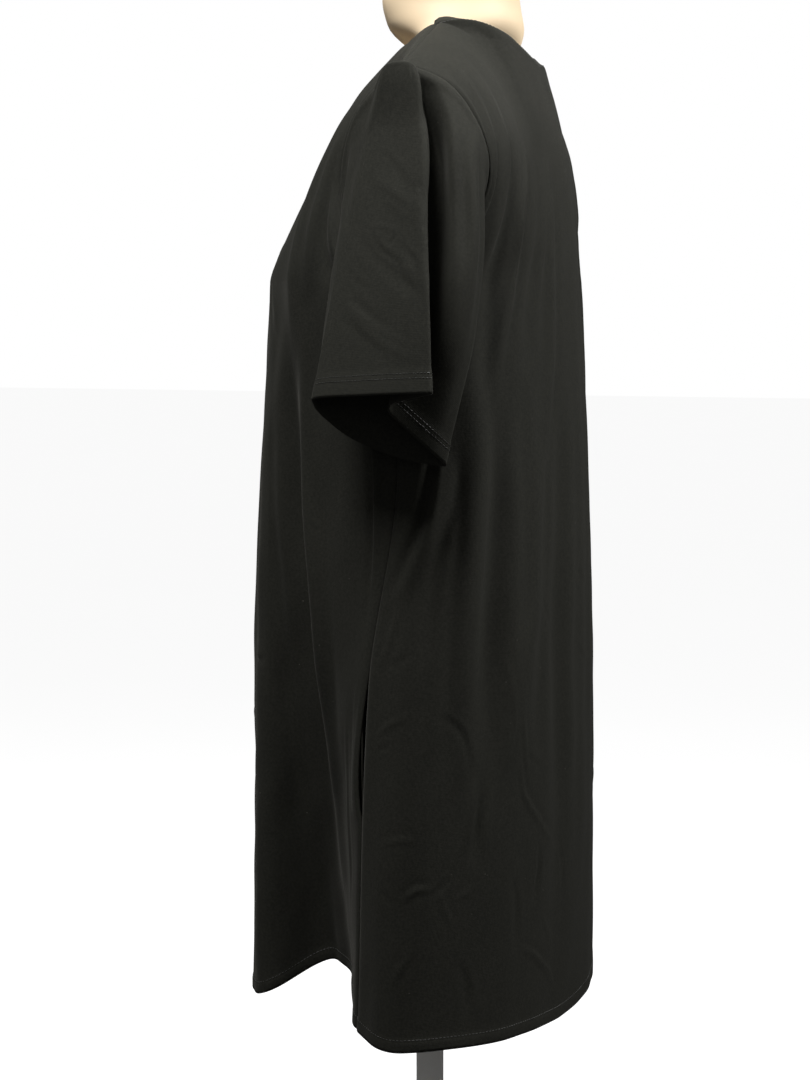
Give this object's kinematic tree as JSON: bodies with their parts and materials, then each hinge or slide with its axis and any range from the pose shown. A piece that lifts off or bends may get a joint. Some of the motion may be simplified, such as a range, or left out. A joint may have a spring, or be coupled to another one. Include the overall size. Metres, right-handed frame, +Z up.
{
  "type": "t-shirt dress on a dress form",
  "caption": "Loose short-sleeved jersey t-shirt dress with in-seam pockets, hanging in soft folds on a smooth limbless dress form with a round base.",
  "frame": {"origin": "centre of the round base on the floor, under the pole", "axes": "+Z up along the pole, -Y to the front of the dress, +X to the wearer's left"},
  "size_m": [0.5494, 0.33, 1.472],
  "materials": {
    "jersey": "soft black cotton and elastane jersey",
    "form_skin": "matt cream",
    "stand_paint": "satin off-white"
  },
  "bodies": {
    "root": {"front_panel": "jersey", "back_panel": "jersey", "sleeve_left": "jersey", "sleeve_right": "jersey", "pocket_bag_left": "jersey", "pocket_bag_right": "jersey", "neck_band": "jersey", "dress_form": "form_skin", "stand_pole": "stand_paint", "stand_base": "stand_paint"}
  },
  "joints": []
}
